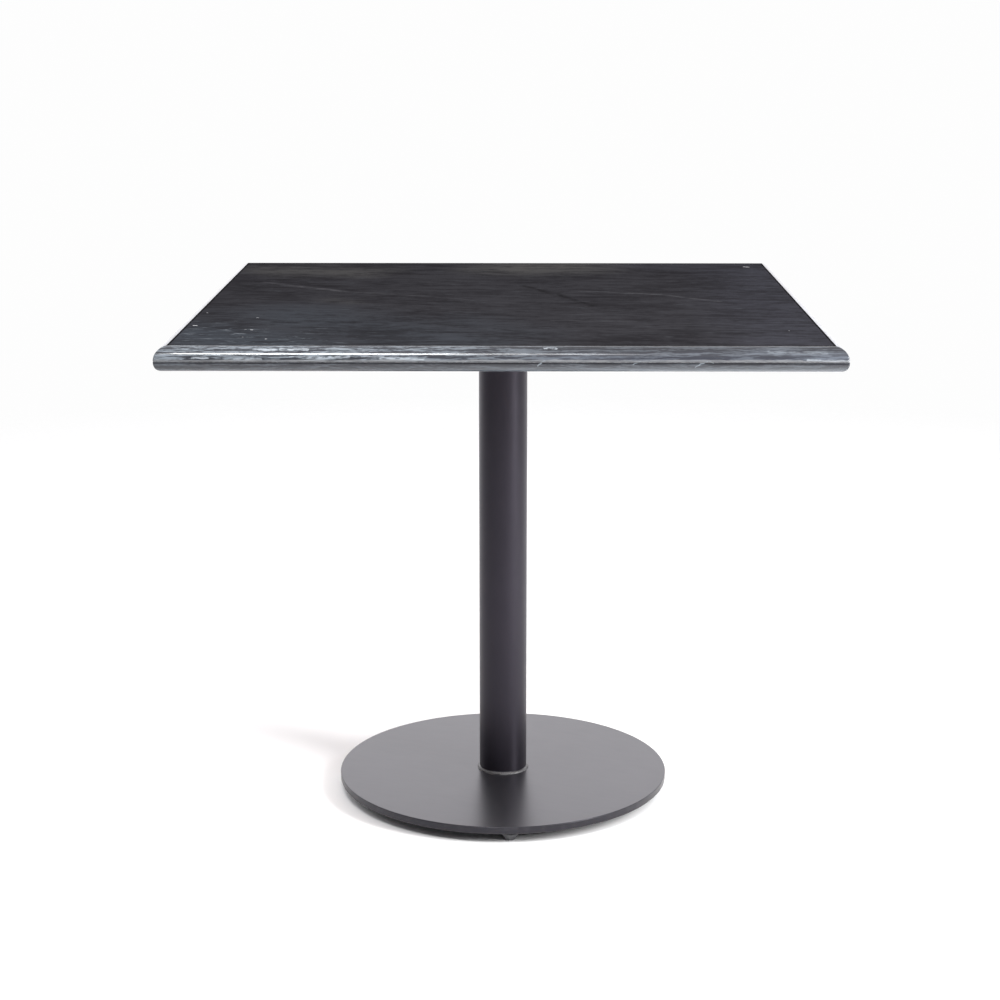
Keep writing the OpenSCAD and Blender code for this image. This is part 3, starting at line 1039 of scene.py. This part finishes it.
def build_gusset_beads():
    """Along each gusset four beads, two on the plate and two on the column."""
    leg = 3.0 * MM
    gusset_t = 5 * MM
    reach = 60 * MM
    snipe = 9 * MM
    wall = math.sqrt(COLUMN_R**2 - (gusset_t / 2) ** 2)
    down = Vector((0, 0, -1))
    for node, degrees in GUSSET_ANGLES.items():
        turn = math.radians(degrees)
        out = Vector((math.cos(turn), math.sin(turn), 0))
        across = Vector((-math.sin(turn), math.cos(turn), 0))
        parts = []
        for side in (-1, 1):
            at_plate = Vector((0, 0, PLATE_Z)) + across * (side * gusset_t / 2)
            start = at_plate + out * (wall + snipe + 3 * MM)
            stop = at_plate + out * (COLUMN_R + reach - 4 * MM)
            parts.append(bead(start, stop, across * side, down, leg))
            start = at_plate + out * wall + down * (snipe + 3 * MM)
            stop = at_plate + out * wall + down * (reach - 4 * MM)
            parts.append(bead(start, stop, across * side, out, leg))
        beads = join_meshes(f"{node}_beads", parts, sharp=50.0)
        settle(beads, "table", WELD_COAT, "black_powder_coat")


build_gusset_beads()


# -------- column and base plate

tube = lathe(
    "column_tube",
    [
        (COLUMN_R, column_low.z), (COLUMN_R, column_high.z),
        (COLUMN_R - COLUMN_WALL, column_high.z), (COLUMN_R - COLUMN_WALL, column_low.z),
    ],
    segments=192, closed=True,
)
settle(tube, "table", COLUMN_COAT, "black_powder_coat", "column_tube")


def build_base():
    chamfer = 0.8 * MM
    profile = eased(
        [
            (0, BASE_Z), (BASE_R - chamfer, BASE_Z), (BASE_R, BASE_Z + chamfer),
            (BASE_R, BASE_TOP - chamfer), (BASE_R - chamfer, BASE_TOP), (0, BASE_TOP),
        ],
        {1: 0.5 * MM, 2: 0.5 * MM, 3: 0.7 * MM, 4: 0.7 * MM}, steps=3,
    )
    plate = lathe("base_plate", profile, segments=288)
    hole_r, hole_depth = 4 * MM, 9 * MM
    cutters = []
    for i in FEET:
        outline = [
            (0, BASE_Z - 1 * MM), (hole_r + 1.4 * MM, BASE_Z - 1 * MM), (hole_r, BASE_Z + 0.4 * MM),
            (hole_r, BASE_Z + hole_depth), (0, BASE_Z + hole_depth),
        ]
        cutters.append(lathe("cutter", outline, foot_centre(i), segments=48))
    cut_away(plate, cutters)
    shade(plate, 30.0)
    flatten_flats(plate)
    settle(plate, "table", BASE_COAT, "black_powder_coat", "base_plate")


build_base()


# -------- feet


def build_foot(i):
    """A cupped pad, and in it a threaded stem with a hexagon collar."""
    pad_node, stem_node = f"foot_pad_{i}", f"foot_stem_{i}"
    centre = foot_centre(i)
    pad_low, pad_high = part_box(pad_node)
    stem_low, stem_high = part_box(stem_node)
    wide = (pad_high.x - pad_low.x) / 2
    top = pad_high.z
    ease = 0.8 * MM
    sole = 7.5 * MM
    band = 1.2 * MM
    neck, head_r = 4.05 * MM, 6.05 * MM
    head_z, head_top = stem_low.z - 0.05 * MM, stem_low.z + 3.05 * MM
    profile = [
        (0, 0), (sole - ease, 0), (sole, ease), (wide, top - ease - band), (wide, top - ease),
        (wide - ease, top), (wide - 3.0 * MM, top), (wide - 3.4 * MM, top - 0.4 * MM),
        (neck + 2.2 * MM, top - 0.4 * MM), (neck + 1.8 * MM, top), (neck, top),
        (neck, head_top), (head_r, head_top), (head_r, head_z), (0, head_z),
    ]
    radii = {1: 0.5 * MM, 2: 0.9 * MM, 3: 0.9 * MM, 4: 0.5 * MM, 5: 0.5 * MM, 10: 0.2 * MM}
    pad = lathe(pad_node, eased(profile, radii), centre, segments=96)
    settle(pad, pad_node, NYLON, "foot_nylon", pad_node)

    collar_z = top + 0.1 * MM
    collar_h = 3 * MM
    disc_r, disc_top = 6 * MM, stem_low.z + 3 * MM
    shank_r, shank_top = 4 * MM, collar_z + 0.5 * MM
    outline = [
        (0, stem_low.z), (disc_r, stem_low.z), (disc_r, disc_top), (shank_r, disc_top),
        (shank_r, shank_top), (0, shank_top),
    ]
    head = lathe("head", eased(outline, {1: 0.3 * MM, 2: 0.3 * MM}), segments=64)
    collar = mesh_object("collar", *hex_band(13 * MM, collar_h, collar_z), sharp=20.0)
    rod = thread(3.4 * MM, 3.95 * MM, 1.25 * MM, collar_z + collar_h - 0.3 * MM, stem_high.z)
    stem = join_meshes(stem_node, [head, collar, rod], sharp=24.0)
    stem.data.transform(Matrix.Translation((*centre, 0)))
    settle(stem, stem_node, ZINC, "zinc_steel", stem_node)


for foot in FEET:
    build_foot(foot)


# -------- floor, light and camera


def build_floor():
    """A plain pale floor that fades out into the backdrop."""
    inner, outer = 1.6, 3.4
    floor = lathe("floor", [(0, 0), (outer, 0)])
    g = Material("pale_floor")
    mottle = g.noise(2.2)
    g.set("Base Color", g.mix(g.ramp(mottle, 0.3, 0.7), (0.875, 0.875, 0.88), (0.90, 0.90, 0.90)))
    g.set("Roughness", 0.75)
    g.set("Specular IOR Level", 0.15)
    g.set("Normal", g.bump(g.noise(260.0, detail=2.0), 0.05, 0.0004))
    distance = g.vector("LENGTH", g.where, output="Value")
    g.set("Alpha", g.ramp(distance, inner, outer, 1.0, 0.0))
    floor.data.materials.append(g.material)


def build_world():
    """White to the camera; to everything else a soft room, brighter behind the table than in front."""
    world = bpy.data.worlds.new("studio")
    bpy.context.scene.world = world
    world.use_nodes = True
    world.node_tree.nodes.clear()
    g = Graph(world.node_tree)

    parts = g.node("ShaderNodeSeparateXYZ")
    g.put(parts.inputs[0], g.node("ShaderNodeTexCoord").outputs["Generated"])
    _, y, z = parts.outputs
    back = g.ramp(y, -0.2, 0.75)

    def from_front_to_back(front_level, back_level):
        return g.plus(g.times(back, back_level - front_level), front_level)

    def blend(share, low, high):
        return g.plus(g.times(share, g.minus(high, low)), low)

    # light below the horizon, just above it and higher up, each dim on the camera's side,
    # and an even ceiling over them
    under = from_front_to_back(0.27, 1.35)
    low = from_front_to_back(0.15, 1.45)
    middle_band = from_front_to_back(0.15, 2.75)
    ceiling = from_front_to_back(1.05, 1.00)
    strength = blend(g.ramp(z, -0.06, 0.04), under, low)
    strength = blend(g.ramp(z, 0.08, 0.32), strength, middle_band)
    strength = blend(g.ramp(z, 0.46, 0.72), strength, ceiling)

    lit = g.node("ShaderNodeBackground")
    g.put(lit.inputs["Color"], (0.985, 0.970, 1.0, 1.0))
    g.put(lit.inputs["Strength"], strength)
    seen = g.node("ShaderNodeBackground")
    g.put(seen.inputs["Color"], (0.985, 0.985, 0.985, 1.0))
    mix = g.node("ShaderNodeMixShader")
    g.put(mix.inputs[0], g.node("ShaderNodeLightPath").outputs["Is Camera Ray"])
    g.put(mix.inputs[1], lit.outputs[0])
    g.put(mix.inputs[2], seen.outputs[0])
    g.put(g.node("ShaderNodeOutputWorld").inputs["Surface"], mix.outputs[0])


# name, place, the point it is aimed at, width, height, radiance
LIGHTS = (
    ("key_right", (1.9, -0.9, 2.6), (0.0, 0.0, 0.2), 1.4, 1.4, 4.0),
    ("low_right", (2.05, -1.25, 1.28), (0.0, 0.0, 0.3), 0.62, 1.3, 33.0),
    ("edge_light_left", (-0.50, -1.90, 2.79), (-0.30, -0.45, 0.75), 0.75, 0.28, 56.0),
    ("edge_light_middle", (0.09, -1.90, 2.79), (0.05, -0.45, 0.75), 0.40, 0.28, 13.5),
)


def soft_light(name, place, aim, width, height, radiance):
    """A rectangular softbox of a given radiance, unseen by the camera."""
    light = bpy.data.lights.new(name, "AREA")
    light.shape = "RECTANGLE"
    light.size = width
    light.size_y = height
    light.energy = radiance * width * height * math.pi
    obj = bpy.data.objects.new(name, light)
    obj.location = place
    obj.rotation_euler = (Vector(aim) - Vector(place)).to_track_quat("-Z", "Y").to_euler()
    obj.visible_camera = False
    bpy.context.scene.collection.objects.link(obj)


def build_camera():
    """The photograph's viewpoint: a long lens a little above the top, looking slightly down."""
    focal_share = 2.133
    sensor = 36.0
    pitch = 0.23348
    yaw = -0.0078
    data = bpy.data.cameras.new("camera")
    data.sensor_width = sensor
    data.lens = sensor * focal_share
    data.clip_start = 0.05
    data.clip_end = 60.0
    camera = bpy.data.objects.new("camera", data)
    camera.location = (0.0200, -3.1658, 1.2095)
    forward = Vector((math.sin(yaw) * math.cos(pitch), math.cos(yaw) * math.cos(pitch), -math.sin(pitch)))
    camera.rotation_euler = forward.to_track_quat("-Z", "Y").to_euler()
    bpy.context.scene.collection.objects.link(camera)
    bpy.context.scene.camera = camera


build_floor()
build_world()
for light in LIGHTS:
    soft_light(*light)
build_camera()
bpy.context.scene.view_settings.view_transform = "Standard"
